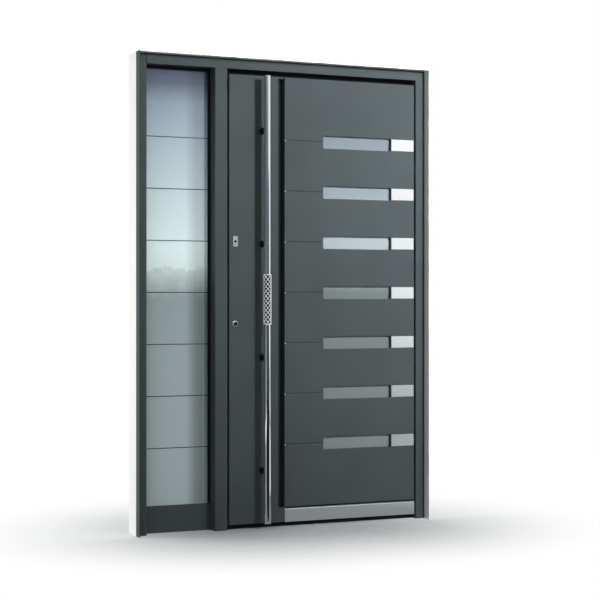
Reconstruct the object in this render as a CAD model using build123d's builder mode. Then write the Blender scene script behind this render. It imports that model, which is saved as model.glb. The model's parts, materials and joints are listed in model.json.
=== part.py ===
"""A flush aluminium front door with a fixed sidelight, seven frosted lites and a full-height pull bar.

Millimetres, +Z up. The outside face looks along -Y. The origin lies on the underside of the threshold, at the
middle of the frame's width and depth. The leaf hangs on the inside right and opens inwards.
"""
import os
from math import cos, pi, radians, sin, sqrt

from build123d import *

os.makedirs("parts", exist_ok=True)

# Frame
frame_width = 1618.0
frame_height = 2384.0
frame_depth = 110.0
jamb_face = 56.0
header_face = 54.0
mullion_face = 67.0
sidelight_width = 362.0
bevel_width = 10.0
bevel_depth = 5.0

# Lining boards round the frame, which stand forward of its face
lining_thickness = 4.0
lining_forward = 50.0

# Rebate between frame and leaf
stop_depth = 62.0
rebate_step = 24.0
leaf_gap = 9.0
leaf_top_gap = 27.0
flange_gap = 8.0
stop_gap = 9.0
seal_width = 10.0
seal_thickness = 4.0
seal_inset = 4.0

# Threshold
threshold_setback = 40.0
threshold_height = 18.0
threshold_low = 6.0
threshold_nose = 4.0
leaf_floor_gap = 7.0

# Sidelight
kick_depth = 64.0
kick_height = 127.0
ledge_rise = 7.0
glass_depth = 80.0
glass_thickness = 22.0
glass_seat = 118.0
glass_edge_gap = 3.0
gasket_face = 12.0
gasket_depth = 10.0
bead_gap = 0.5

# Leaf layers
leaf_setback = 2.0
skin_thickness = 34.0
inside_thickness = 20.0
panel_chamfer = 1.5

# Handle panel, channel and slat panel
handle_panel_width = 270.0
channel_width = 36.5
channel_sill_height = 75.0
channel_cap_height = 8.0
channel_cap_setback = 8.0

# Rows of grooves, lites and plates
row_count = 7
first_row = 420.0
top_row_drop = 404.0
groove_length = 218.5
groove_width = 12.0
groove_depth = 4.0
lite_height = 66.0
lite_corner = 6.0
lite_recess = 20.0
lite_overlap = 8.0
lite_clearance = 0.2
plate_width = 134.0
plate_height = 61.0
plate_thickness = 4.0
plate_proud = 1.0
plate_margin = 3.0
plate_gap = 1.0
plate_chamfer = 0.6

# Kickplate
kickplate_height = 73.0
kickplate_thickness = 12.0
kickplate_proud = 2.0
kickplate_bevel = 8.0
kickplate_gap = 5.0

# Pull bar
bar_radius = 19.0
bar_offset = 65.0
bar_inset = 182.0
bar_end_gap = 7.0
bar_chamfer = 1.5
standoff_radius = 15.0
standoff_base_radius = 17.0
standoff_base_thickness = 3.0
standoff_count = 4
standoff_first = 294.0
standoff_top_drop = 362.0
saddle_clearance = 0.1

# Lattice grip sleeve, between the middle two standoffs
grip_rise = 6.5
grip_length = 255.0
grip_radius = 22.0
grip_wall = 3.0
grip_core_radius = 15.0
grip_ring = 6.0
grip_sides = 12
lattice_around = 6
lattice_rows = 24
strand_width = 3.2

# Reader and lock on the handle panel
fitting_inset = 32.5
reader_height = 1458.0
reader_width = 26.0
reader_length = 52.0
reader_thickness = 4.0
reader_corner = 3.0
sensor_radius = 7.0
sensor_sink = 2.0
sensor_clearance = 0.2
lamp_radius = 3.0
lamp_drop = 16.0
lamp_depth = 1.0
cylinder_height = 1042.0
rosette_radius = 17.0
rosette_inner_radius = 10.0
rosette_thickness = 7.0
rosette_slope = 3.5
plug_radius = 9.5
plug_thickness = 4.0
key_width = 2.4
key_length = 9.0
key_depth = 3.0

# Lever on the inside
lever_rise = 92.0
lever_rosette_size = 52.0
lever_rosette_thickness = 9.0
lever_rosette_chamfer = 2.0
lever_width = 20.0
lever_thickness = 9.0
lever_reach = 50.0
lever_length = 130.0
lever_bend = 18.0

# Lock faceplate and strike plate
faceplate_width = 22.0
faceplate_length = 1720.0
faceplate_thickness = 3.0
faceplate_middle = 1110.0
bolt_width = 12.0
bolt_length = 44.0
bolt_spread = 720.0

# Hinges on the inside right
hinge_count = 3
hinge_first = 290.0
hinge_top_drop = 304.0
hinge_length = 120.0
hinge_barrel_radius = 10.0
hinge_pin_radius = 5.0
hinge_pin_clearance = 0.05
hinge_knuckle_gap = 0.5
hinge_stand = 14.0
hinge_plate_width = 22.0
hinge_plate_thickness = 4.0
hinge_plate_gap = 4.0

# Places across the width
left_x = -frame_width / 2
right_x = frame_width / 2
sidelight_left = left_x + jamb_face
mullion_left = sidelight_left + sidelight_width
doorway_left = mullion_left + mullion_face
doorway_right = right_x - jamb_face
rebate_left = doorway_left - rebate_step
rebate_right = doorway_right + rebate_step
leaf_left = doorway_left + leaf_gap
leaf_right = doorway_right - leaf_gap
flange_left = rebate_left + flange_gap
flange_right = rebate_right - flange_gap
channel_left = leaf_left + handle_panel_width
panel_left = channel_left + channel_width
plate_right = leaf_right - plate_margin
plate_left = plate_right - plate_width
lite_left = panel_left + groove_length
lite_right = plate_left - plate_gap
lite_x = (lite_left + lite_right) / 2
lite_width = lite_right - lite_left
bar_x = leaf_left + bar_inset
fitting_x = leaf_left + fitting_inset
hinge_x = (flange_right + rebate_right) / 2

# Heights
header_bottom = frame_height - header_face
rebate_top = header_bottom + rebate_step
leaf_bottom = threshold_height + leaf_floor_gap
leaf_top = header_bottom - leaf_top_gap
flange_bottom = threshold_low + leaf_floor_gap
flange_top = rebate_top - flange_gap
kickplate_top = leaf_bottom + kickplate_height
lining_low = frame_height - lining_thickness


def spaced(first, last, count):
    """Evenly spaced heights from the first to the last."""
    return [first + (last - first) * step / (count - 1) for step in range(count)]


row_heights = spaced(first_row, frame_height - top_row_drop, row_count)
standoff_heights = spaced(standoff_first, frame_height - standoff_top_drop, standoff_count)
hinge_heights = spaced(hinge_first, frame_height - hinge_top_drop, hinge_count)

# Depths behind the frame's outside face
face_y = -frame_depth / 2
back_y = frame_depth / 2
skin_back = leaf_setback + skin_thickness
flange_front = stop_depth + stop_gap
core_back = frame_depth - inside_thickness
lite_front = leaf_setback + lite_recess
glass_back = glass_depth + glass_thickness
bar_depth = leaf_setback - bar_offset
hinge_y = back_y + hinge_stand


def upright(depth):
    """A plane that faces the outside, at a depth behind the frame's face, with X across and Z up."""
    return Plane((0, face_y + depth, 0), x_dir=(1, 0, 0), z_dir=(0, -1, 0))


def slab(x_low, x_high, z_low, z_high, depth_low, depth_high, mode=Mode.ADD):
    """Extrudes a rectangle given by its edges, from one depth back to another, in the open part."""
    with BuildSketch(upright(depth_low)) as outline:
        with Locations(((x_low + x_high) / 2, (z_low + z_high) / 2)):
            Rectangle(x_high - x_low, z_high - z_low)
    extrude(outline.sketch, amount=-(depth_high - depth_low), mode=mode)


def plan_bar(points, height):
    """Extrudes a closed plan outline, given as (x, depth) points, up from the floor in the open part."""
    with BuildSketch(Plane.XY) as outline:
        with BuildLine():
            Polyline(*[(x, face_y + depth) for x, depth in points], close=True)
        make_face()
    extrude(outline.sketch, amount=height)


def side_bar(points, x_low, x_high, mode=Mode.ADD):
    """Extrudes a closed side outline, given as (depth, z) points, across the width in the open part."""
    with BuildSketch(Plane.YZ.offset(x_low)) as outline:
        with BuildLine():
            Polyline(*[(face_y + depth, z) for depth, z in points], close=True)
        make_face()
    extrude(outline.sketch, amount=x_high - x_low, mode=mode)


def write(piece, name):
    """Labels a finished piece and writes it."""
    piece.part.label = name
    export_step(piece.part, f"parts/{name}.step")


# Jambs and mullion
with BuildPart() as left_jamb:
    plan_bar(
        [
            (left_x + lining_thickness, 0),
            (sidelight_left - bevel_width, 0),
            (sidelight_left, bevel_depth),
            (sidelight_left, frame_depth),
            (left_x + lining_thickness, frame_depth),
        ],
        lining_low,
    )
write(left_jamb, "left_jamb")

strike_low = faceplate_middle - faceplate_length / 2
strike_high = faceplate_middle + faceplate_length / 2
faceplate_front = (skin_back + flange_front - faceplate_width) / 2
faceplate_back = faceplate_front + faceplate_width
with BuildPart() as mullion:
    plan_bar(
        [
            (mullion_left, 0),
            (doorway_left - bevel_width, 0),
            (doorway_left, bevel_depth),
            (doorway_left, stop_depth),
            (rebate_left, stop_depth),
            (rebate_left, frame_depth),
            (mullion_left, frame_depth),
        ],
        header_bottom,
    )
    slab(
        doorway_left - faceplate_thickness,
        doorway_left,
        strike_low,
        strike_high,
        faceplate_front,
        faceplate_back,
        mode=Mode.SUBTRACT,
    )
write(mullion, "mullion")

with BuildPart() as right_jamb:
    plan_bar(
        [
            (doorway_right, 0),
            (right_x - lining_thickness, 0),
            (right_x - lining_thickness, frame_depth),
            (rebate_right, frame_depth),
            (rebate_right, stop_depth),
            (doorway_right, stop_depth),
        ],
        lining_low,
    )
write(right_jamb, "right_jamb")

# Header, cut back behind the stop over the doorway
with BuildPart() as header:
    slab(sidelight_left, doorway_right, header_bottom, lining_low, 0, stop_depth)
    slab(sidelight_left, rebate_left, header_bottom, lining_low, stop_depth, frame_depth)
    slab(rebate_left, rebate_right, rebate_top, lining_low, stop_depth, frame_depth)
write(header, "header")

# Lining boards on the left, top and right, over the frame's whole depth
with BuildPart() as lining_left:
    slab(left_x, left_x + lining_thickness, 0, lining_low, -lining_forward, frame_depth)
write(lining_left, "lining_left")

with BuildPart() as lining_right:
    slab(right_x - lining_thickness, right_x, 0, lining_low, -lining_forward, frame_depth)
write(lining_right, "lining_right")

with BuildPart() as lining_top:
    slab(left_x, right_x, lining_low, frame_height, -lining_forward, frame_depth)
write(lining_top, "lining_top")

# Threshold with its stop
with BuildPart() as threshold:
    side_bar(
        [
            (threshold_setback, 0),
            (threshold_setback, threshold_height - threshold_nose),
            (threshold_setback + threshold_nose, threshold_height),
            (stop_depth, threshold_height),
            (stop_depth, threshold_low),
            (frame_depth, threshold_low),
            (frame_depth, 0),
        ],
        doorway_left,
        doorway_right,
    )
write(threshold, "threshold")

# Sidelight kick panel, with a sloped ledge in front of the glass and a seat under it
with BuildPart() as sidelight_kick_panel:
    side_bar(
        [
            (kick_depth, 0),
            (kick_depth, kick_height),
            (glass_depth, kick_height + ledge_rise),
            (glass_depth, glass_seat),
            (frame_depth, glass_seat),
            (frame_depth, 0),
        ],
        sidelight_left,
        mullion_left,
    )
write(sidelight_kick_panel, "sidelight_kick_panel")

with BuildPart() as sidelight_glass:
    slab(
        sidelight_left + glass_edge_gap,
        mullion_left - glass_edge_gap,
        glass_seat,
        header_bottom - glass_edge_gap,
        glass_depth,
        glass_back,
    )
write(sidelight_glass, "sidelight_glass")


def glazing_strips(bottom, depth_low, depth_high):
    """Two upright strips beside the glass and one over it, in the open part."""
    strip_top = header_bottom - gasket_face
    slab(sidelight_left, sidelight_left + gasket_face, bottom, header_bottom, depth_low, depth_high)
    slab(mullion_left - gasket_face, mullion_left, bottom, header_bottom, depth_low, depth_high)
    slab(
        sidelight_left + gasket_face + bead_gap,
        mullion_left - gasket_face - bead_gap,
        strip_top,
        header_bottom,
        depth_low,
        depth_high,
    )


with BuildPart() as glazing_gasket:
    glazing_strips(kick_height + ledge_rise, glass_depth - gasket_depth, glass_depth)
write(glazing_gasket, "glazing_gasket")

with BuildPart() as glazing_bead:
    glazing_strips(glass_seat, glass_back, frame_depth)
    slab(
        sidelight_left + gasket_face + bead_gap,
        mullion_left - gasket_face - bead_gap,
        glass_seat,
        kick_height + ledge_rise,
        glass_back,
        frame_depth,
    )
write(glazing_bead, "glazing_bead")

# Door seal on the inside face of the stop
seal_back = stop_depth + seal_thickness
with BuildPart() as door_seal:
    seal_foot = threshold_height + bead_gap
    seal_left = doorway_left - seal_inset
    seal_right = doorway_right + seal_inset
    seal_top = header_bottom + seal_inset
    slab(seal_left - seal_width, seal_left, seal_foot, seal_top + seal_width, stop_depth, seal_back)
    slab(seal_right, seal_right + seal_width, seal_foot, seal_top + seal_width, stop_depth, seal_back)
    slab(seal_left + bead_gap, seal_right - bead_gap, seal_top, seal_top + seal_width, stop_depth, seal_back)
    slab(doorway_left, doorway_right, flange_bottom, threshold_height, stop_depth, seal_back)
write(door_seal, "door_seal")


def bolt_cuts(x_low, x_high):
    """Cuts the three bolt windows through an edge plate in the open part."""
    inset = (faceplate_width - bolt_width) / 2
    for step in (-1, 0, 1):
        middle = faceplate_middle + step * bolt_spread
        slab(
            x_low,
            x_high,
            middle - bolt_length / 2,
            middle + bolt_length / 2,
            faceplate_front + inset,
            faceplate_back - inset,
            mode=Mode.SUBTRACT,
        )


with BuildPart() as strike_plate:
    slab(
        doorway_left - faceplate_thickness,
        doorway_left,
        strike_low,
        strike_high,
        faceplate_front,
        faceplate_back,
    )
    bolt_cuts(doorway_left - faceplate_thickness, doorway_left)
write(strike_plate, "strike_plate")


def lite_openings(depth_low, depth_high):
    """Cuts the seven rounded windows through a panel in the open part."""
    with BuildSketch(upright(depth_low)) as outline:
        for row_z in row_heights:
            with Locations((lite_x, row_z)):
                RectangleRounded(lite_width, lite_height, lite_corner)
    extrude(outline.sketch, amount=-(depth_high - depth_low), mode=Mode.SUBTRACT)


def lite_pockets(depth_low, depth_high, overlap):
    """Cuts seven plain windows, wider than the lites by an overlap on each side, in the open part."""
    with BuildSketch(upright(depth_low)) as outline:
        for row_z in row_heights:
            with Locations((lite_x, row_z)):
                Rectangle(lite_width + 2 * overlap, lite_height + 2 * overlap)
    extrude(outline.sketch, amount=-(depth_high - depth_low), mode=Mode.SUBTRACT)


# Leaf core: a block inside the doorway and a wider flange that closes against the stop
with BuildPart() as leaf_core:
    slab(leaf_left, leaf_right, leaf_bottom, leaf_top, skin_back, flange_front)
    slab(flange_left, flange_right, flange_bottom, flange_top, flange_front, core_back)
    lite_pockets(skin_back, core_back, lite_overlap)
    slab(
        leaf_left,
        leaf_left + faceplate_thickness,
        strike_low,
        strike_high,
        faceplate_front,
        faceplate_back,
        mode=Mode.SUBTRACT,
    )
write(leaf_core, "leaf_core")

with BuildPart() as lock_faceplate:
    slab(
        leaf_left,
        leaf_left + faceplate_thickness,
        strike_low,
        strike_high,
        faceplate_front,
        faceplate_back,
    )
    bolt_cuts(leaf_left, leaf_left + faceplate_thickness)
write(lock_faceplate, "lock_faceplate")

# Outside skin: handle panel, channel ends and slat panel
with BuildPart() as handle_panel:
    slab(leaf_left, channel_left, leaf_bottom, leaf_top, leaf_setback, skin_back)
    chamfer(handle_panel.faces().sort_by(Axis.Y)[0].edges(), panel_chamfer)
write(handle_panel, "handle_panel")

with BuildPart() as channel_ends:
    slab(
        channel_left,
        panel_left,
        leaf_bottom,
        leaf_bottom + channel_sill_height,
        leaf_setback,
        skin_back,
    )
    slab(
        channel_left,
        panel_left,
        leaf_top - channel_cap_height,
        leaf_top,
        leaf_setback + channel_cap_setback,
        skin_back,
    )
write(channel_ends, "channel_ends")

plate_back = leaf_setback - plate_proud + plate_thickness
kickplate_front = leaf_setback - kickplate_proud
kickplate_back = kickplate_front + kickplate_thickness
with BuildPart() as slat_panel:
    slab(panel_left, leaf_right, leaf_bottom, leaf_top, leaf_setback, skin_back)
    chamfer(slat_panel.faces().sort_by(Axis.Y)[0].edges(), panel_chamfer)
    lite_openings(leaf_setback, skin_back)
    lite_pockets(lite_front, skin_back, lite_overlap)
    for row_z in row_heights:
        side_bar(
            [
                (leaf_setback, row_z - groove_width / 2),
                (leaf_setback, row_z + groove_width / 2),
                (leaf_setback + groove_depth, row_z),
            ],
            panel_left,
            lite_left,
            mode=Mode.SUBTRACT,
        )
        slab(
            plate_left,
            plate_right,
            row_z - plate_height / 2,
            row_z + plate_height / 2,
            leaf_setback,
            plate_back,
            mode=Mode.SUBTRACT,
        )
    slab(
        panel_left,
        leaf_right,
        leaf_bottom,
        kickplate_top + kickplate_gap,
        leaf_setback,
        kickplate_back,
        mode=Mode.SUBTRACT,
    )
write(slat_panel, "slat_panel")

# Inside panel over the whole flange, with the same seven windows
with BuildPart() as inside_panel:
    slab(flange_left, flange_right, flange_bottom, flange_top, core_back, frame_depth)
    lite_pockets(core_back, frame_depth, 0)
write(inside_panel, "inside_panel")

# Lites and plates, one of each to a row; the glass reaches behind the edges of its window
lite_reach = 2 * (lite_overlap - lite_clearance)
for number, row_z in enumerate(row_heights, start=1):
    with BuildPart() as lite:
        with BuildSketch(upright(lite_front)):
            with Locations((lite_x, row_z)):
                Rectangle(lite_width + lite_reach, lite_height + lite_reach)
        extrude(amount=-(core_back - lite_front))
    write(lite, f"lite_{number}")

    with BuildPart() as steel_plate:
        slab(
            plate_left,
            plate_right,
            row_z - plate_height / 2,
            row_z + plate_height / 2,
            leaf_setback - plate_proud,
            plate_back,
        )
        chamfer(steel_plate.faces().sort_by(Axis.Y)[0].edges(), plate_chamfer)
    write(steel_plate, f"steel_plate_{number}")

# Kickplate with a bevelled top edge
with BuildPart() as kickplate:
    side_bar(
        [
            (kickplate_front, leaf_bottom),
            (kickplate_front, kickplate_top - kickplate_bevel),
            (kickplate_front + kickplate_bevel, kickplate_top),
            (kickplate_back, kickplate_top),
            (kickplate_back, leaf_bottom),
        ],
        panel_left,
        leaf_right,
    )
write(kickplate, "kickplate")

# Pull bar in two lengths, with a slim core between them
bar_y = face_y + bar_depth
above_grip = standoff_count // 2
grip_middle = (standoff_heights[above_grip - 1] + standoff_heights[above_grip]) / 2 + grip_rise
grip_bottom = grip_middle - grip_length / 2
grip_top = grip_middle + grip_length / 2
bar_low = leaf_bottom + bar_end_gap
bar_high = leaf_top - bar_end_gap


def rod(z_low, z_high, radius):
    """Extrudes an upright round rod on the bar's axis in the open part."""
    with BuildSketch(Plane.XY.offset(z_low)) as outline:
        with Locations((bar_x, bar_y)):
            Circle(radius)
    extrude(outline.sketch, amount=z_high - z_low)


with BuildPart() as pull_bar_lower:
    rod(bar_low, grip_bottom, bar_radius)
    chamfer(pull_bar_lower.faces().sort_by(Axis.Z)[0].edges(), bar_chamfer)
write(pull_bar_lower, "pull_bar_lower")

with BuildPart() as pull_bar_upper:
    rod(grip_top, bar_high, bar_radius)
    chamfer(pull_bar_upper.faces().sort_by(Axis.Z)[-1].edges(), bar_chamfer)
write(pull_bar_upper, "pull_bar_upper")

with BuildPart() as grip_core:
    rod(grip_bottom, grip_top, grip_core_radius)
write(grip_core, "grip_core")

# Lattice sleeve: a tube with a ring at each end, opened by staggered diamonds
lattice_pitch = (grip_length - 2 * grip_ring) / (lattice_rows + 1)
diamond_half_width = pi * grip_radius / lattice_around
diamond_span = sqrt(diamond_half_width**2 + lattice_pitch**2)
strand_share = 1 - strand_width * diamond_span / (2 * diamond_half_width * lattice_pitch)
cut_half_width = diamond_half_width * strand_share
cut_half_height = lattice_pitch * strand_share
diamond_planes = []
for lattice_row in range(lattice_rows):
    cut_z = grip_bottom + grip_ring + lattice_pitch * (lattice_row + 1)
    for step in range(lattice_around):
        turn = radians(360 / lattice_around * (step + lattice_row % 2 / 2))
        outward = (sin(turn), -cos(turn), 0)
        sideways = (cos(turn), sin(turn), 0)
        diamond_planes.append(Plane((bar_x, bar_y, cut_z), x_dir=sideways, z_dir=outward))

grip_turn = 180 / grip_sides
with BuildPart() as grip_sleeve:
    with BuildSketch(Plane.XY.offset(grip_bottom)):
        with Locations((bar_x, bar_y)):
            RegularPolygon(grip_radius, grip_sides, rotation=grip_turn)
    extrude(amount=grip_length)
    with BuildSketch(Plane.XY.offset(grip_bottom + grip_ring)):
        with Locations((bar_x, bar_y)):
            RegularPolygon(grip_radius - grip_wall, grip_sides, rotation=grip_turn)
    extrude(amount=grip_length - 2 * grip_ring, mode=Mode.SUBTRACT)
    with BuildSketch(Plane.XY.offset(grip_bottom)):
        with Locations((bar_x, bar_y)):
            Circle(grip_core_radius)
    extrude(amount=grip_length, mode=Mode.SUBTRACT)
    with BuildSketch(*diamond_planes):
        with BuildLine():
            Polyline(
                (cut_half_width, 0),
                (0, cut_half_height),
                (-cut_half_width, 0),
                (0, -cut_half_height),
                close=True,
            )
        make_face()
    extrude(amount=grip_radius + grip_wall, mode=Mode.SUBTRACT)
write(grip_sleeve, "grip_sleeve")

# Standoffs with a round base on the panel and a saddle against the bar
with BuildPart() as standoffs:
    for standoff_z in standoff_heights:
        with BuildSketch(upright(leaf_setback)):
            with Locations((bar_x, standoff_z)):
                Circle(standoff_base_radius)
        extrude(amount=standoff_base_thickness)
        with BuildSketch(upright(leaf_setback)):
            with Locations((bar_x, standoff_z)):
                Circle(standoff_radius)
        extrude(amount=bar_offset)
    with BuildSketch(Plane.XY):
        with Locations((bar_x, bar_y)):
            Circle(bar_radius + saddle_clearance)
    extrude(amount=frame_height, mode=Mode.SUBTRACT)
write(standoffs, "standoffs")

# Reader plate with its round sensor and a small lamp recess
with BuildPart() as reader_plate:
    with BuildSketch(upright(leaf_setback)):
        with Locations((fitting_x, reader_height)):
            RectangleRounded(reader_width, reader_length, reader_corner)
    extrude(amount=reader_thickness)
    with BuildSketch(upright(leaf_setback - reader_thickness)):
        with Locations((fitting_x, reader_height)):
            Circle(sensor_radius)
    extrude(amount=-sensor_sink, mode=Mode.SUBTRACT)
    with BuildSketch(upright(leaf_setback - reader_thickness)):
        with Locations((fitting_x, reader_height - lamp_drop)):
            Circle(lamp_radius)
    extrude(amount=-lamp_depth, mode=Mode.SUBTRACT)
write(reader_plate, "reader_plate")

with BuildPart() as reader_sensor:
    with BuildSketch(upright(leaf_setback - reader_thickness + sensor_sink)):
        with Locations((fitting_x, reader_height)):
            Circle(sensor_radius - sensor_clearance)
    extrude(amount=sensor_sink)
write(reader_sensor, "reader_sensor")

with BuildPart() as cylinder_rosette:
    with BuildSketch(upright(leaf_setback)):
        with Locations((fitting_x, cylinder_height)):
            Circle(rosette_radius)
            Circle(rosette_inner_radius, mode=Mode.SUBTRACT)
    extrude(amount=rosette_thickness)
    chamfer(cylinder_rosette.faces().sort_by(Axis.Y)[0].outer_wire().edges(), rosette_slope)
write(cylinder_rosette, "cylinder_rosette")

with BuildPart() as lock_cylinder:
    with BuildSketch(upright(leaf_setback)):
        with Locations((fitting_x, cylinder_height)):
            Circle(plug_radius)
    extrude(amount=plug_thickness)
    with BuildSketch(upright(leaf_setback - plug_thickness)):
        with Locations((fitting_x, cylinder_height)):
            Rectangle(key_width, key_length)
    extrude(amount=-key_depth, mode=Mode.SUBTRACT)
write(lock_cylinder, "lock_cylinder")

# Lever and its rosette on the inside
lever_z = cylinder_height + lever_rise
with BuildPart() as lever_rosette:
    with BuildSketch(upright(frame_depth)):
        with Locations((fitting_x, lever_z)):
            Rectangle(lever_rosette_size, lever_rosette_size)
    extrude(amount=-lever_rosette_thickness)
    chamfer(lever_rosette.faces().sort_by(Axis.Y)[-1].edges(), lever_rosette_chamfer)
write(lever_rosette, "lever_rosette")

lever_foot = back_y + lever_rosette_thickness
with BuildPart() as inside_lever:
    with BuildLine() as lever_path:
        FilletPolyline(
            (fitting_x, lever_foot, lever_z),
            (fitting_x, back_y + lever_reach, lever_z),
            (fitting_x + lever_length, back_y + lever_reach, lever_z),
            radius=lever_bend,
        )
    with BuildSketch(Plane((fitting_x, lever_foot, lever_z), x_dir=(1, 0, 0), z_dir=(0, 1, 0))):
        Rectangle(lever_thickness, lever_width)
    sweep(path=lever_path.wires()[0])
write(inside_lever, "inside_lever")

# Hinges: two knuckles and the pin on the frame, one knuckle on the leaf
knuckle = (hinge_length - 2 * hinge_knuckle_gap) / 3
frame_plate_low = rebate_right + hinge_plate_gap
leaf_plate_high = flange_right - hinge_plate_gap


def hinge_profile(plate_low, plate_high, z_low, height):
    """Extrudes a hinge plate on the inside face, its web and its knuckle in the open part."""
    web_side = plate_low if plate_low > hinge_x else plate_high
    with BuildSketch(Plane.XY.offset(z_low)) as outline:
        with Locations((hinge_x, hinge_y)):
            Circle(hinge_barrel_radius)
        with BuildLine():
            Polyline(
                (web_side, back_y),
                (web_side, back_y + hinge_plate_thickness),
                (hinge_x, hinge_y),
                (hinge_x, hinge_y - hinge_barrel_radius),
                close=True,
            )
        make_face()
        with Locations(((plate_low + plate_high) / 2, back_y + hinge_plate_thickness / 2)):
            Rectangle(plate_high - plate_low, hinge_plate_thickness)
    extrude(outline.sketch, amount=height)


with BuildPart() as hinge_frame_halves:
    for hinge_z in hinge_heights:
        low = hinge_z - hinge_length / 2
        for z_low in (low, low + 2 * (knuckle + hinge_knuckle_gap)):
            hinge_profile(frame_plate_low, frame_plate_low + hinge_plate_width, z_low, knuckle)
        with BuildSketch(Plane.XY.offset(low)):
            with Locations((hinge_x, hinge_y)):
                Circle(hinge_pin_radius)
        extrude(amount=hinge_length)
write(hinge_frame_halves, "hinge_frame_halves")

with BuildPart() as hinge_leaf_halves:
    for hinge_z in hinge_heights:
        hinge_profile(leaf_plate_high - hinge_plate_width, leaf_plate_high, hinge_z - knuckle / 2, knuckle)
    with BuildSketch(Plane.XY):
        with Locations((hinge_x, hinge_y)):
            Circle(hinge_pin_radius + hinge_pin_clearance)
    extrude(amount=frame_height, mode=Mode.SUBTRACT)
write(hinge_leaf_halves, "hinge_leaf_halves")
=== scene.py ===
"""Looks of a flush aluminium front door with a fixed sidelight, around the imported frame.

Metres, +Z up, the outside looks along -Y, as in the frame.
"""

import json
import math

import bmesh
import bpy
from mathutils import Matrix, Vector


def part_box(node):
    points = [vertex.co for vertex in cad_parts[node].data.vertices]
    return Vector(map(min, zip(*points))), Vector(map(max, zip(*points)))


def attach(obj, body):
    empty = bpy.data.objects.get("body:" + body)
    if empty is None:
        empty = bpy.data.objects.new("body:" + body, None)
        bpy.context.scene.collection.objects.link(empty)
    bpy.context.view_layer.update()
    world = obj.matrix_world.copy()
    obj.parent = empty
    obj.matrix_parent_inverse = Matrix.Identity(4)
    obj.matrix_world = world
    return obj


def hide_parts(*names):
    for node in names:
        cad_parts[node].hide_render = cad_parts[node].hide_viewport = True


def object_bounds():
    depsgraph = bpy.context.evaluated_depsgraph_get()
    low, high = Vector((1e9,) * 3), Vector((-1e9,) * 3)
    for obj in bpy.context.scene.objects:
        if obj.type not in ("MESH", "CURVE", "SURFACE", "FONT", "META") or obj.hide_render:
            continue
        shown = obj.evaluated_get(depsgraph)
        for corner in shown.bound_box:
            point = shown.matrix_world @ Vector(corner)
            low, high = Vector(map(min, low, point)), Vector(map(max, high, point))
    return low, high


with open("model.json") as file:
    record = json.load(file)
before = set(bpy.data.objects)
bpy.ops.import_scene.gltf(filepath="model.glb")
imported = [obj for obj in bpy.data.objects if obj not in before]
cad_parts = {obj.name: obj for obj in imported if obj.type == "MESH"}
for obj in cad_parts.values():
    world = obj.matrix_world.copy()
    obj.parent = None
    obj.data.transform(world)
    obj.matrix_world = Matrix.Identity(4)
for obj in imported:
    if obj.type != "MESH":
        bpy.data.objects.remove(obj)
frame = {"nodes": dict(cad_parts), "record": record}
cad_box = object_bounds()
nodes = frame["nodes"]

# Camera
IMAGE_SIZE = 600
FOCAL_PIXELS = 1600
SENSOR_WIDTH = 36
CAMERA_PLACE = (-3.337, -7.545, 1.162)
CAMERA_PITCH = math.radians(90)
CAMERA_YAW = math.radians(-24.5)

# Rows of the leaf, lowest first
ROW_COUNT = 7
LITES = [f"lite_{row}" for row in range(1, ROW_COUNT + 1)]

# Painted highlight: light pieces in the open ends of the grooves, where they run out into the channel,
# stand in for the lit lower faces of the grooves.
# Their section is listed as (depth, half height).
END_HIGHLIGHT_WIDTH = 0.005
END_HIGHLIGHT_SECTION = [(-0.0003, 0.0030), (0.0014, 0.0036), (0.0036, 0.0005)]

# Lens in the reader's lamp recess: (radius, depth under the plate's face), from the floor to the crown
LENS_DROP = 0.016
LENS_SIDES = 32
LENS_PROFILE = [
    (0.0029, 0.001),
    (0.0029, 0.0006),
    (0.00232, 0.00039),
    (0.00116, 0.0003),
]

# Rounded ring of the lock: (radius, height over the panel), from the bore to the rim
ROSETTE_PROFILE = [
    (0.0100, 0.0),
    (0.0100, 0.0056),
    (0.0104, 0.0066),
    (0.0112, 0.0068),
    (0.0126, 0.0059),
    (0.0144, 0.0043),
    (0.0162, 0.0025),
    (0.0169, 0.0013),
    (0.0170, 0.0),
]

# Lattice of round strands round the grip
STRAND_PAIRS = 6
STRAND_RADIUS = 0.00135
STRAND_SIDES = 8
LATTICE_ROWS = 21
LATTICE_TURN = math.radians(13.7)
GRIP_RADIUS = 0.021
TURN_STEPS = 64

# The two rings that close the lattice: (radius, height) of their section
GRIP_RING = 0.002
RING_RADIUS = 0.0188
GRIP_CORE = 0.015
RING_SECTION = [
    (GRIP_CORE, 0),
    (RING_RADIUS, 0),
    (RING_RADIUS, GRIP_RING),
    (GRIP_CORE, GRIP_RING),
]

# Edges sharper than this stay sharp in the smooth pieces
SHARP_ANGLE = math.radians(50)

# Clear lines in the satin glass of the sidelight
LINE_HEIGHT = 0.0045
LINE_PROUD = 0.0002
LINE_SINK = 0.0015

# Dark strips: a painted shade at the back of the gap over the kickplate, and dark sealant in the joints
# beside the lining, which also stands in for the shade in those inside corners
STRIP_INSET = 0.001
STRIP_SINK = 0.0004
STRIP_DEPTH = 0.0012
KICK_GAP = 0.0048
JOINT_WIDTH = 0.004
JOINT_PROUD = 0.0003
JOINT_DEPTH = 0.001

# Skin of the lining that counts as its outer side
LINING_SKIN = 0.0004

# Range in which most values of a noise lie
NOISE_LOW = 0.3
NOISE_HIGH = 0.7

# Noise scales of the finishes, in cells a metre
CLOUD_SCALE = 3.5
COAT_GRAIN = 1400
LINING_GRAIN = 700
BRUSH_LINES = 2200
HANDLING_MARKS = 40
POLISH_LINES = 1600
STRAND_GRIT = 1500
# Waves of the tree line in the glass's painted reflection
REFLECTED_TREE_LINE = 18
GLASS_FROST = 2200
RUBBER_SKIN = 900
SENSOR_FILM = 120
LENS_GRAIN = 800
LINE_FILM = 60
FLOOR_MOTTLE = 14

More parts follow.
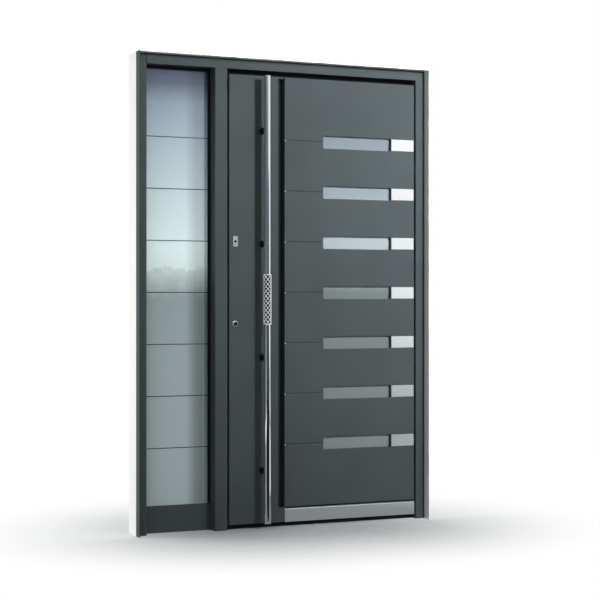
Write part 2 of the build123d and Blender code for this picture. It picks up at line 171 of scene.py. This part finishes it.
# Shares by which a colour varies over its surface
COAT_SHADE = 0.08
LINING_DARK = 0.96
STREAK_DARK = 0.95

# Noise value from which a brushed streak has its full colour
STREAK_HIGH = 0.65

# Sockets of a Mix node that mixes colours
MIX_SHARE = 0
MIX_FIRST = 6
MIX_SECOND = 7
MIX_RESULT = 2

# Samples of a softened edge
EDGE_SAMPLES = 4


def srgb(red, green, blue):
    """A linear colour from 0 to 255 screen values."""
    linear = []
    for value in (red, green, blue):
        share = value / 255
        linear.append(share / 12.92 if share <= 0.04045 else ((share + 0.055) / 1.055) ** 2.4)
    return (*linear, 1.0)


def grey(share):
    """A linear grey."""
    return (share, share, share, 1.0)


def scaled(color, share):
    """A colour with its light scaled by a share."""
    return (*(channel * share for channel in color[:3]), 1.0)


class Finish:
    """One material and its node tree, with short calls for the nodes that the finishes share."""

    def __init__(self, name, color, roughness, metallic=0.0, specular=0.5):
        self.material = bpy.data.materials.new(name)
        self.material.use_nodes = True
        self.tree = self.material.node_tree
        self.shader = self.tree.nodes["Principled BSDF"]
        self.shader.inputs["Base Color"].default_value = color
        self.shader.inputs["Roughness"].default_value = roughness
        self.shader.inputs["Metallic"].default_value = metallic
        self.shader.inputs["Specular IOR Level"].default_value = specular
        self.place = self.add("ShaderNodeTexCoord").outputs["Object"]

    def add(self, kind, **settings):
        """A new node with its plain settings."""
        node = self.tree.nodes.new(kind)
        for key, value in settings.items():
            setattr(node, key, value)
        return node

    def join(self, source, target):
        """A link from an output to an input."""
        self.tree.links.new(source, target)

    def feed(self, value, target):
        """Sets an input from a constant or an output."""
        if isinstance(value, bpy.types.NodeSocket):
            self.join(value, target)
        else:
            target.default_value = value

    def axes(self):
        """The place on the object as its X, Y and Z outputs."""
        node = self.add("ShaderNodeSeparateXYZ")
        self.join(self.place, node.inputs["Vector"])
        return node.outputs

    def stretched(self, scale):
        """The place on the object, scaled by its own amount along each axis."""
        mapping = self.add("ShaderNodeMapping")
        mapping.inputs["Scale"].default_value = scale
        self.join(self.place, mapping.inputs["Vector"])
        return mapping.outputs["Vector"]

    def noise(self, scale, detail=2.0, roughness=0.5, stretch=(1, 1, 1)):
        """A noise value between 0 and 1, with scale given in cells a metre."""
        node = self.add("ShaderNodeTexNoise")
        node.inputs["Scale"].default_value = scale
        node.inputs["Detail"].default_value = detail
        node.inputs["Roughness"].default_value = roughness
        self.join(self.stretched(stretch), node.inputs["Vector"])
        return node.outputs["Fac"]

    def spread(self, value, low, high, from_low=NOISE_LOW, from_high=NOISE_HIGH):
        """A value moved from one range to another."""
        node = self.add("ShaderNodeMapRange", clamp=True)
        for key, number in (
            ("From Min", from_low),
            ("From Max", from_high),
            ("To Min", low),
            ("To Max", high),
        ):
            node.inputs[key].default_value = number
        self.join(value, node.inputs["Value"])
        return node.outputs["Result"]

    def ramp(self, value, stops):
        """A colour looked up along (position, colour) stops."""
        node = self.add("ShaderNodeValToRGB")
        elements = node.color_ramp.elements
        while len(elements) < len(stops):
            elements.new(0.5)
        for element, (position, color) in zip(elements, stops):
            element.position = position
            element.color = color
        self.join(value, node.inputs["Fac"])
        return node.outputs["Color"]

    def blend(self, share, first, second, mode="MIX"):
        """Two colours, each a constant or an output, mixed by a share."""
        node = self.add("ShaderNodeMix", data_type="RGBA", blend_type=mode)
        self.feed(share, node.inputs[MIX_SHARE])
        self.feed(first, node.inputs[MIX_FIRST])
        self.feed(second, node.inputs[MIX_SECOND])
        return node.outputs[MIX_RESULT]

    def math(self, operation, first, second=0.0):
        """A Math node on two values, each a constant or an output."""
        node = self.add("ShaderNodeMath", operation=operation)
        self.feed(first, node.inputs[0])
        self.feed(second, node.inputs[1])
        return node.outputs[0]

    def height_bump(self, value, distance, strength=1.0, edge=0.0):
        """Bump from a height value, over softened edges where edge gives their radius."""
        node = self.add("ShaderNodeBump")
        node.inputs["Distance"].default_value = distance
        node.inputs["Strength"].default_value = strength
        self.join(value, node.inputs["Height"])
        if edge:
            soft = self.add("ShaderNodeBevel", samples=EDGE_SAMPLES)
            soft.inputs["Radius"].default_value = edge
            self.join(soft.outputs["Normal"], node.inputs["Normal"])
        self.join(node.outputs["Normal"], self.shader.inputs["Normal"])

    def color(self, output):
        """Sets the surface colour from an output."""
        self.join(output, self.shader.inputs["Base Color"])

    def roughness(self, output):
        """Sets the roughness from an output."""
        self.join(output, self.shader.inputs["Roughness"])

    def surface(self, output):
        """Sets what the material shows from a shader's output."""
        self.join(output, self.tree.nodes["Material Output"].inputs["Surface"])


def powder_coat(name, color, roughness=0.42, specular=0.25):
    """Fine-textured powder coat: soft cloudiness, a fine grain and a slightly uneven gloss."""
    finish = Finish(name, color, roughness, specular=specular)
    clouds = finish.noise(CLOUD_SCALE, detail=4)
    shades = [(NOISE_LOW, scaled(color, 1 - COAT_SHADE)), (NOISE_HIGH, scaled(color, 1 + COAT_SHADE))]
    finish.color(finish.ramp(clouds, shades))
    fine = finish.noise(COAT_GRAIN, detail=2)
    finish.roughness(finish.spread(fine, roughness - 0.06, roughness + 0.08))
    finish.height_bump(fine, distance=0.00006, edge=0.0012)
    return finish.material


def lining_coat(name, color, white, coat):
    """Light matt board, white on its front edge and its outer sides.

    The left board has the frame's coat where it stands in front of the jamb.
    """
    finish = Finish(name, color, 0.6, specular=0.25)
    place = finish.axes()
    far = cad_box[1]
    aside = finish.math("SUBTRACT", finish.math("ABSOLUTE", place["X"]), far.x - LINING_SKIN)
    above = finish.math("SUBTRACT", place["Z"], far.z - LINING_SKIN)
    front = finish.math("SUBTRACT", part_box("lining_top")[0].y + LINING_SKIN, place["Y"])
    outermost = finish.math("MAXIMUM", finish.math("MAXIMUM", aside, above), front)
    clouds = finish.noise(CLOUD_SCALE, detail=4)
    board = finish.ramp(clouds, [(NOISE_LOW, scaled(color, LINING_DARK)), (NOISE_HIGH, color)])
    tone = finish.blend(finish.math("GREATER_THAN", outermost), board, white)
    forward = finish.math("LESS_THAN", place["Y"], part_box("left_jamb")[0].y)
    leftmost = finish.math("LESS_THAN", place["X"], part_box("lining_left")[1].x + LINING_SKIN)
    finish.color(finish.blend(finish.math("MULTIPLY", forward, leftmost), tone, coat))
    fine = finish.noise(LINING_GRAIN, detail=3)
    finish.roughness(finish.spread(fine, 0.54, 0.68))
    finish.height_bump(fine, distance=0.00008)
    return finish.material


def brushed_metal(name, color, roughness, stretch, edge=0.0008):
    """Brushed steel: long streaks in colour, gloss and height along one direction."""
    finish = Finish(name, color, roughness, metallic=1.0)
    finish.shader.inputs["Anisotropic"].default_value = 0.5
    streaks = finish.noise(BRUSH_LINES, detail=3, roughness=0.65, stretch=stretch)
    finish.color(finish.ramp(streaks, [(NOISE_LOW, scaled(color, STREAK_DARK)), (STREAK_HIGH, color)]))
    finish.roughness(finish.spread(streaks, roughness - 0.02, roughness + 0.03))
    finish.height_bump(streaks, distance=0.00001, strength=0.08, edge=edge)
    return finish.material


def polished_metal(name, color, roughness):
    """Polished steel with faint handling marks in its gloss."""
    finish = Finish(name, color, roughness, metallic=1.0)
    marks = finish.noise(HANDLING_MARKS, detail=5, roughness=0.6)
    finish.roughness(finish.spread(marks, roughness * 0.7, roughness * 1.6))
    fine = finish.noise(POLISH_LINES, detail=1, stretch=(1, 1, 0.05))
    finish.height_bump(fine, distance=0.000006, strength=0.5, edge=0.0008)
    return finish.material


def satin_steel(name):
    """Blasted bright steel of the grip's strands."""
    finish = Finish(name, srgb(246, 250, 252), 0.3, metallic=0.15)
    grit = finish.noise(STRAND_GRIT, detail=2)
    finish.color(finish.ramp(grit, [(NOISE_LOW, srgb(240, 246, 250)), (NOISE_HIGH, srgb(250, 253, 254))]))
    finish.roughness(finish.spread(grit, 0.24, 0.36))
    finish.height_bump(grit, distance=0.00002)
    return finish.material


# Painted reflection of sky, tree line and ground in the sidelight's satin glass, as tones from the floor
# up: (height in metres, colour)
SIDELIGHT_REFLECTION_TONES = [
    (0.10, srgb(184, 197, 198)),
    (1.17, srgb(146, 159, 160)),
    (1.318, srgb(198, 212, 210)),
    (1.33, srgb(217, 233, 232)),
    (1.42, srgb(220, 237, 236)),
    (1.88, srgb(171, 188, 195)),
    (2.15, srgb(128, 144, 158)),
    (2.25, srgb(70, 82, 103)),
    (2.31, srgb(54, 64, 86)),
]
# Painted reflection in the glass of the lites, as tones from the floor up: (height in metres, colour)
LITE_REFLECTION_TONES = [
    (0.42, srgb(120, 128, 130)),
    (1.20, srgb(104, 113, 114)),
    (1.33, srgb(155, 165, 167)),
    (1.46, srgb(156, 166, 168)),
    (1.72, srgb(131, 142, 148)),
    (1.98, srgb(116, 126, 134)),
]
GLASS_TOP = 2.4

# Uneven heights of the painted reflection's tones, its wavy tree line: they calm down to a share of
# themselves between two heights
CALM_HEIGHTS = (1.45, 1.7)
CALM_SHARE = 0.2

# Painted shade of the mullion along the sidelight's right side, below and above the horizon, with a painted
# highlight at the far right edge above it: (place across, share of light left)
LOW_PAINTED_SHADE = [(-0.522, 1.0), (-0.468, 0.55), (-0.432, 0.42), (-0.406, 0.8)]
HIGH_PAINTED_SHADE_AND_HIGHLIGHT = [(-0.522, 1.0), (-0.468, 0.70), (-0.426, 0.62), (-0.406, 1.5)]
BAND_HORIZON = (1.16, 1.34)


def satin_glass(name, tones, roughness, wander, painted_side_band=False):
    """Satin glass with a painted reflection in its colour: the tone runs from grey below through a pale
    part to a deeper tone above, and on request a painted shade along the right side is multiplied in.
    """
    finish = Finish(name, tones[0][1], roughness, specular=0.5)
    place = finish.axes()
    calm = finish.spread(place["Z"], wander, wander * CALM_SHARE, *CALM_HEIGHTS)
    # Wavy tree line of the painted reflection
    reflected_trees = finish.spread(finish.noise(REFLECTED_TREE_LINE, detail=8, roughness=0.68), -1, 1)
    shift = finish.math("MULTIPLY", reflected_trees, calm)
    height = finish.math("DIVIDE", finish.math("ADD", place["Z"], shift), GLASS_TOP)
    tone = finish.ramp(height, [(level / GLASS_TOP, color) for level, color in tones])
    # Painted shade of the mullion along the right side, and a painted highlight at its far right edge above
    # the horizon
    if painted_side_band:
        left, right = LOW_PAINTED_SHADE[0][0], LOW_PAINTED_SHADE[-1][0]
        across = finish.spread(place["X"], 0, 1, left, right)
        painted_bands = []
        for shades in (LOW_PAINTED_SHADE, HIGH_PAINTED_SHADE_AND_HIGHLIGHT):
            shares = [((x - left) / (right - left), grey(share)) for x, share in shades]
            painted_bands.append(finish.ramp(across, shares))
        above = finish.spread(place["Z"], 0, 1, *BAND_HORIZON)
        tone = finish.blend(1.0, tone, finish.blend(above, *painted_bands), mode="MULTIPLY")
    finish.color(tone)
    frost = finish.noise(GLASS_FROST, detail=2)
    finish.roughness(finish.spread(frost, roughness - 0.05, roughness + 0.08))
    finish.height_bump(frost, distance=0.00002, strength=0.5, edge=0.0006)
    return finish.material


def rubber(name, color):
    """Matt seal rubber with a fine skin."""
    finish = Finish(name, color, 0.7, specular=0.3)
    skin = finish.noise(RUBBER_SKIN, detail=3)
    finish.roughness(finish.spread(skin, 0.6, 0.8))
    finish.height_bump(skin, distance=0.00008)
    return finish.material


def black_glass(name):
    """The dark lens of the reader."""
    finish = Finish(name, srgb(3, 3, 4), 0.08, specular=0.12)
    film = finish.noise(SENSOR_FILM, detail=3)
    finish.roughness(finish.spread(film, 0.05, 0.16))
    return finish.material


FINISHES = {
    "anthracite": powder_coat("anthracite", srgb(66, 73, 75)),
    "lining": lining_coat("lining", srgb(220, 222, 219), srgb(246, 246, 244), srgb(62, 69, 71)),
    "dark_core": powder_coat("dark_core", srgb(36, 42, 46), roughness=0.6, specular=0.1),
    "threshold": brushed_metal("threshold", srgb(34, 37, 40), 0.42, (0.03, 1, 1)),
    "brushed_steel": brushed_metal("brushed_steel", srgb(240, 243, 244), 0.24, (0.008, 1, 1), edge=0.002),
    "polished_steel": polished_metal("polished_steel", srgb(226, 228, 230), 0.045),
    "dark_metal": powder_coat("dark_metal", srgb(15, 17, 18), roughness=0.4),
    "hinge": powder_coat("hinge", srgb(58, 65, 68), roughness=0.36),
    "sidelight_glass": satin_glass("sidelight_glass", SIDELIGHT_REFLECTION_TONES, 0.22, 0.025, painted_side_band=True),
    "lite_glass": satin_glass("lite_glass", LITE_REFLECTION_TONES, 0.3, 0.01),
    "seal": rubber("seal", srgb(9, 10, 11)),
    "sensor": black_glass("sensor"),
}
NODE_SLOTS = {entry["node"]: entry["material_slot"] for entry in frame["record"]["subparts"]}


def dress(node, slot):
    """Gives a CAD node the finish of its slot."""
    obj = nodes[node]
    obj.data.materials.clear()
    obj.data.materials.append(FINISHES[slot])


def mesh_piece(name, geometry, finish, body):
    """A new piece from a bmesh, with its finish and the body that it rides on."""
    mesh = bpy.data.meshes.new(name)
    geometry.to_mesh(mesh)
    geometry.free()
    piece = bpy.data.objects.new(name, mesh)
    bpy.context.scene.collection.objects.link(piece)
    mesh.materials.append(finish)
    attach(piece, body)
    return piece


def smooth_rounds(piece):
    """Shades a piece smooth, apart from its sharp edges."""
    for polygon in piece.data.polygons:
        polygon.use_smooth = True
    piece.data.set_sharp_from_angle(angle=SHARP_ANGLE)


def add_box(geometry, low, high):
    """A closed box between two corners, added to a bmesh."""
    made = bmesh.ops.create_cube(geometry, size=1.0)
    middle = (Vector(low) + Vector(high)) / 2
    size = Vector(high) - Vector(low)
    for vertex in made["verts"]:
        vertex.co = middle + Vector(a * b for a, b in zip(vertex.co, size))


def close_loft(geometry, rings, looped=False):
    """Joins rings of vertices in a row into one closed skin, with caps unless the row is looped."""
    pairs = list(zip(rings, rings[1:]))
    if looped:
        pairs.append((rings[-1], rings[0]))
    for first, second in pairs:
        for step in range(len(first)):
            following = (step + 1) % len(first)
            geometry.faces.new((first[step], first[following], second[following], second[step]))
    if not looped:
        geometry.faces.new(reversed(rings[0]))
        geometry.faces.new(rings[-1])


def row_heights():
    """The middle height of each row of the leaf."""
    heights = []
    for lite in LITES:
        low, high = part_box(lite)
        heights.append((low.z + high.z) / 2)
    return heights


def groove_end_highlights():
    """A light piece in the open end of each groove, a painted highlight for the groove's lit lower face."""
    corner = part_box("slat_panel")[0]
    outline = END_HIGHLIGHT_SECTION + [(depth, -half) for depth, half in reversed(END_HIGHLIGHT_SECTION)]
    geometry = bmesh.new()
    for middle in row_heights():
        ends = []
        for x in (corner.x, corner.x + END_HIGHLIGHT_WIDTH):
            ends.append([geometry.verts.new((x, corner.y + depth, middle + z)) for depth, z in outline])
        close_loft(geometry, ends)
    bmesh.ops.recalc_face_normals(geometry, faces=geometry.faces)
    # Light grey stands in for the lit lower face of each groove: painted highlight
    finish = powder_coat("groove_end_highlight", srgb(176, 180, 181), roughness=0.35)
    mesh_piece("groove_end_highlights", geometry, finish, "leaf")


def reader_lens():
    """A low dome in the lamp recess of the reader."""
    low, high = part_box("reader_plate")
    middle = Vector(((low.x + high.x) / 2, low.y, (low.z + high.z) / 2 - LENS_DROP))
    geometry = bmesh.new()
    rings = []
    for radius, depth in LENS_PROFILE:
        rings.append([])
        for step in range(LENS_SIDES):
            turn = math.tau * step / LENS_SIDES
            offset = Vector((radius * math.cos(turn), depth, radius * math.sin(turn)))
            rings[-1].append(geometry.verts.new(middle + offset))
    close_loft(geometry, rings)
    bmesh.ops.recalc_face_normals(geometry, faces=geometry.faces)
    finish = Finish("lamp_lens", srgb(96, 100, 104), 0.2)
    finish.roughness(finish.spread(finish.noise(LENS_GRAIN, detail=2), 0.15, 0.3))
    mesh_piece("reader_lens", geometry, finish.material, "leaf")


def rosette_dome():
    """The lock's rosette, a ring with a rounded crown."""
    low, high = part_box("cylinder_rosette")
    middle = (low + high) / 2
    geometry = bmesh.new()
    rings = []
    for step in range(TURN_STEPS):
        turn = math.tau * step / TURN_STEPS
        outward = Vector((math.cos(turn), 0, math.sin(turn)))
        rings.append([])
        for radius, height in ROSETTE_PROFILE:
            place = Vector((middle.x, high.y - height, middle.z)) + outward * radius
            rings[-1].append(geometry.verts.new(place))
    close_loft(geometry, rings, looped=True)
    bmesh.ops.recalc_face_normals(geometry, faces=geometry.faces)
    piece = mesh_piece("rosette_dome", geometry, FINISHES["polished_steel"], "leaf")
    smooth_rounds(piece)
    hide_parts("cylinder_rosette")


def grip_lattice():
    """Round strands that cross in a lattice round the grip, between two slim rings."""
    low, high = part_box("grip_sleeve")
    middle = (low + high) / 2
    bottom, top = low.z + GRIP_RING, high.z - GRIP_RING
    reach = GRIP_RADIUS - STRAND_RADIUS
    full_turn = math.tau / STRAND_PAIRS * LATTICE_ROWS / 2
    climb = (top - bottom) / (reach * full_turn)
    count = math.ceil(full_turn / math.tau * TURN_STEPS)
    geometry = bmesh.new()
    for hand in (-1, 1):
        for strand in range(STRAND_PAIRS):
            rings = []
            for step in range(count + 1):
                turn = math.tau * strand / STRAND_PAIRS + hand * full_turn * step / count
                turn += LATTICE_TURN
                outward = Vector((math.sin(turn), -math.cos(turn), 0))
                along = Vector((hand * math.cos(turn), hand * math.sin(turn), climb)).normalized()
                sideways = along.cross(outward)
                level = bottom + (top - bottom) * step / count
                center = Vector((middle.x, middle.y, level)) + outward * reach
                rings.append([])
                for side in range(STRAND_SIDES):
                    angle = math.tau * side / STRAND_SIDES
                    offset = (outward * math.cos(angle) + sideways * math.sin(angle)) * STRAND_RADIUS
                    rings[-1].append(geometry.verts.new(center + offset))
            close_loft(geometry, rings)
    for floor in (low.z, top):
        rings = []
        for step in range(TURN_STEPS):
            turn = math.tau * step / TURN_STEPS
            outward = Vector((math.sin(turn), -math.cos(turn), 0))
            rings.append([])
            for radius, height in RING_SECTION:
                place = Vector((middle.x, middle.y, floor + height)) + outward * radius
                rings[-1].append(geometry.verts.new(place))
        close_loft(geometry, rings, looped=True)
    bmesh.ops.recalc_face_normals(geometry, faces=geometry.faces)
    piece = mesh_piece("grip_lattice", geometry, satin_steel("satin_steel"), "leaf")
    smooth_rounds(piece)
    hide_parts("grip_sleeve")


def sidelight_lines():
    """The seven clear lines in the sidelight's satin glass, level with the rows of the leaf."""
    low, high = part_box("sidelight_glass")
    geometry = bmesh.new()
    for middle in row_heights():
        add_box(
            geometry,
            (low.x, low.y - LINE_PROUD, middle - LINE_HEIGHT / 2),
            (high.x, low.y + LINE_SINK, middle + LINE_HEIGHT / 2),
        )
    finish = Finish("clear_line", srgb(52, 62, 64), 0.08)
    finish.roughness(finish.spread(finish.noise(LINE_FILM, detail=3), 0.05, 0.14))
    mesh_piece("sidelight_lines", geometry, finish.material, "frame")


def shade_and_seal_strips():
    """The dark line over the kickplate, a painted shade in its gap, and the sealed joints between the frame
    and its lining, whose dark sealant also stands in for the shade in those corners.
    """
    plate_low, plate_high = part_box("kickplate")
    geometry = bmesh.new()
    # Painted shade: a dark strip at the back of the gap over the kickplate
    add_box(
        geometry,
        (plate_low.x + STRIP_INSET, plate_low.y + STRIP_SINK, plate_high.z - STRIP_INSET),
        (plate_high.x - STRIP_INSET, plate_low.y + STRIP_SINK + STRIP_DEPTH, plate_high.z + KICK_GAP),
    )
    mesh_piece("kick_gap_shade", geometry, FINISHES["seal"], "leaf")
    left_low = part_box("left_jamb")[0]
    right_low, right_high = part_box("right_jamb")
    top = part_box("header")[1].z
    front = left_low.y - JOINT_PROUD
    back = left_low.y + JOINT_DEPTH
    left_edge = left_low.x + JOINT_WIDTH
    right_edge = right_high.x - JOINT_WIDTH
    geometry = bmesh.new()
    # Dark sealant along the joints, also a painted shade for the inside corners beside the lining
    add_box(geometry, (left_low.x, front, left_low.z), (left_edge, back, top))
    add_box(geometry, (right_edge, front, right_low.z), (right_high.x, back, top))
    add_box(geometry, (left_edge, front, top - JOINT_WIDTH), (right_edge, back, top))
    mesh_piece("lining_seal_and_shade", geometry, FINISHES["seal"], "frame")


def wall(first, second, low, high):
    """The corners of an upright card between two plan points and two heights."""
    return [(*first, low), (*second, low), (*second, high), (*first, high)]


def flat(points, height):
    """The corners of a level card from its plan points."""
    return [(*point, height) for point in points]


# Cards that only reflections see, with tones along one axis, Z unless it is named
MIRROR_CARDS = {
    "front_card": {"corners": wall((-6.5, -9.5), (1.0, -9.5), 0.0, 4.5), "stops": [
        (0.1, srgb(8, 12, 16)),
        (0.5, srgb(88, 100, 108)),
        (0.75, srgb(150, 158, 160)),
        (1.0, srgb(232, 236, 236)),
    ]},
    "hedge_card": {"corners": wall((1.0, -9.5), (4.3, -9.5), 0.0, 2.6), "stops": [
        (0.1, srgb(8, 11, 14)),
        (0.6, srgb(64, 74, 80)),
        (0.9, srgb(92, 102, 108)),
        (1.0, srgb(170, 176, 178)),
    ]},
    "left_card": {"corners": wall((-7.0, -9.5), (-7.0, 2.0), 0.0, 5.0), "stops": [
        (0.0, srgb(140, 149, 154)),
        (0.4, srgb(96, 110, 120)),
    ]},
    "right_card": {"corners": wall((5.0, -1.0), (5.0, 3.0), 0.0, 5.0), "stops": [
        (0.0, srgb(60, 66, 70)),
        (0.07, srgb(140, 146, 150)),
        (1.0, srgb(176, 182, 186)),
    ]},
    "sky_side_card": {"corners": wall((9.0, -9.0), (9.0, -1.0), 0.0, 8.0), "stops": [
        (0.0, srgb(196, 201, 203)),
        (1.0, srgb(212, 217, 219)),
    ]},
    "sky_card": {"corners": wall((4.7, -9.0), (9.0, -9.0), 0.0, 8.0), "strength": 1.4, "stops": [
        (0.0, srgb(40, 44, 46)),
        (0.035, srgb(160, 165, 167)),
        (0.07, srgb(234, 238, 239)),
        (0.3, srgb(253, 253, 253)),
    ]},
    "paving_card": {
        "corners": flat([(-5.0, -9.0), (7.0, -9.0), (7.0, -0.12), (-5.0, -0.12)], 0.003),
        "axis": "Y",
        "stops": [
            (0.0, srgb(190, 194, 195)),
            (0.6, srgb(154, 159, 160)),
            (1.0, srgb(127, 133, 135)),
        ],
    },
    "road_card": {
        "corners": flat([(-9.0, -9.4), (5.6, -9.4), (-0.03, -0.42), (-0.21, -0.42)], 0.005),
        "axis": "Y",
        "stops": [(0.0, srgb(8, 12, 16)), (1.0, srgb(14, 18, 22))],
    },
    "terrace_card": {
        "corners": flat([(0.9, -1.05), (5.0, -5.0), (7.0, -0.62), (1.6, -0.24)], 0.007),
        "axis": "Y",
        "stops": [(0.0, srgb(236, 239, 239)), (1.0, srgb(250, 252, 252))],
    },
}


def mirror_card(name, corners, stops, axis="Z", strength=1.0):
    """A card that only reflections see, shaded along one axis."""
    mesh = bpy.data.meshes.new(name)
    mesh.from_pydata(corners, [], [(0, 1, 2, 3)])
    card = bpy.data.objects.new(name, mesh)
    bpy.context.scene.collection.objects.link(card)
    finish = Finish(name, stops[0][1], 1.0)
    levels = [corner["XYZ".index(axis)] for corner in corners]
    share = finish.spread(finish.axes()[axis], 0, 1, min(levels), max(levels))
    glow = finish.add("ShaderNodeEmission")
    glow.inputs["Strength"].default_value = strength
    finish.join(finish.ramp(share, stops), glow.inputs["Color"])
    finish.surface(glow.outputs["Emission"])
    mesh.materials.append(finish.material)
    card.visible_camera = False
    card.visible_diffuse = False
    card.visible_transmission = False
    card.visible_volume_scatter = False
    card.visible_shadow = False


def seen_rays(tree):
    """A share that is 1 on camera, glossy and transmission rays."""
    path = tree.nodes.new("ShaderNodeLightPath")
    total = path.outputs["Is Camera Ray"]
    for name in ("Is Glossy Ray", "Is Transmission Ray"):
        node = tree.nodes.new("ShaderNodeMath")
        node.operation = "MAXIMUM"
        tree.links.new(total, node.inputs[0])
        tree.links.new(path.outputs[name], node.inputs[1])
        total = node.outputs[0]
    return total


# Floor: how far it reaches, how far it lies under the door, and where it fades to white
FLOOR_REACH = 20
FLOOR_DROP = 0.0005
FLOOR_FADE = (0.0, 1.5)
FLOOR_HALF = 0.25


def floor_finish():
    """A pale floor that turns to plain white with the distance from the door."""
    finish = Finish("floor", srgb(228, 232, 232), 0.55, specular=0.3)
    mottle = finish.noise(FLOOR_MOTTLE, detail=5)
    finish.color(finish.ramp(mottle, [(NOISE_LOW, srgb(223, 228, 228)), (NOISE_HIGH, srgb(234, 237, 237))]))
    place = finish.axes()
    beyond = finish.math("SUBTRACT", finish.math("ABSOLUTE", place["X"]), FLOOR_HALF)
    across = finish.math("MAXIMUM", beyond)
    across_squared = finish.math("MULTIPLY", across, across)
    along_squared = finish.math("MULTIPLY", place["Y"], place["Y"])
    span = finish.math("SQRT", finish.math("ADD", across_squared, along_squared))
    fade = finish.add("ShaderNodeMapRange", interpolation_type="SMOOTHSTEP")
    fade.inputs["From Min"].default_value = FLOOR_FADE[0]
    fade.inputs["From Max"].default_value = FLOOR_FADE[1]
    finish.join(span, fade.inputs["Value"])
    share = finish.math("MULTIPLY", fade.outputs["Result"], seen_rays(finish.tree))
    white = finish.add("ShaderNodeEmission")
    mix = finish.add("ShaderNodeMixShader")
    finish.join(share, mix.inputs["Fac"])
    finish.join(finish.shader.outputs["BSDF"], mix.inputs[1])
    finish.join(white.outputs["Emission"], mix.inputs[2])
    finish.surface(mix.outputs["Shader"])
    return finish.material


AMBIENT = (0.18, 0.188, 0.198, 1)
WHITE = (1, 1, 1, 1)


def world_light():
    """A white background where it is seen, and a soft grey light on the object."""
    world = bpy.data.worlds.new("studio")
    bpy.context.scene.world = world
    world.use_nodes = True
    tree = world.node_tree
    soft = tree.nodes["Background"]
    soft.inputs["Color"].default_value = AMBIENT
    white = tree.nodes.new("ShaderNodeBackground")
    white.inputs["Color"].default_value = WHITE
    mix = tree.nodes.new("ShaderNodeMixShader")
    tree.links.new(seen_rays(tree), mix.inputs["Fac"])
    tree.links.new(soft.outputs["Background"], mix.inputs[1])
    tree.links.new(white.outputs["Background"], mix.inputs[2])
    tree.links.new(mix.outputs["Shader"], tree.nodes["World Output"].inputs["Surface"])


# Area lamps, with their power in watts and their spread in degrees
LAMPS = {
    "key": {
        "place": (2.75, -8.15, 4.0), "target": (1.75, 0.0, 2.65), "size": 1.4, "power": 115, "spread": 46,
    },
    "fill": {"place": (-4.5, -4.5, 2.5), "target": (0.0, 0.0, 1.4), "size": 2.6, "power": 50},
    "side": {"place": (-4.0, 2.2, 1.4), "target": (-0.8, 0.0, 1.2), "size": 2.4, "power": 122},
    "rim": {"place": (0.8, 4.2, 3.2), "target": (0.0, 0.0, 1.2), "size": 2.4, "power": 60},
}


def soft_lamp(name, place, target, size, power, spread=180):
    """A square area lamp that faces a target and that reflections don't show."""
    data = bpy.data.lights.new(name, "AREA")
    data.size = size
    data.energy = power
    data.spread = math.radians(spread)
    lamp = bpy.data.objects.new(name, data)
    lamp.location = place
    lamp.rotation_euler = (Vector(target) - Vector(place)).to_track_quat("-Z", "Y").to_euler()
    lamp.visible_glossy = False
    bpy.context.scene.collection.objects.link(lamp)


def studio():
    """A pale floor that fades out, a white background, soft lamps and the mirror cards."""
    floor_mesh = bpy.data.meshes.new("floor")
    geometry = bmesh.new()
    bmesh.ops.create_grid(geometry, x_segments=2, y_segments=2, size=FLOOR_REACH)
    geometry.to_mesh(floor_mesh)
    geometry.free()
    floor = bpy.data.objects.new("floor", floor_mesh)
    floor.location.z = -FLOOR_DROP
    bpy.context.scene.collection.objects.link(floor)
    floor_mesh.materials.append(floor_finish())
    world_light()
    for name, settings in LAMPS.items():
        soft_lamp(name, **settings)
    for name, settings in MIRROR_CARDS.items():
        mirror_card(name, **settings)


def camera():
    """The photograph's view: level and turned to the right."""
    data = bpy.data.cameras.new("camera")
    data.sensor_width = SENSOR_WIDTH
    data.lens = SENSOR_WIDTH * FOCAL_PIXELS / IMAGE_SIZE
    obj = bpy.data.objects.new("camera", data)
    obj.location = CAMERA_PLACE
    obj.rotation_euler = (CAMERA_PITCH, 0, CAMERA_YAW)
    bpy.context.scene.collection.objects.link(obj)
    bpy.context.scene.camera = obj


for node_name, slot_name in NODE_SLOTS.items():
    dress(node_name, slot_name)
sidelight_lines()
groove_end_highlights()
reader_lens()
rosette_dome()
grip_lattice()
shade_and_seal_strips()
studio()
camera()
bpy.context.scene.view_settings.view_transform = "Standard"
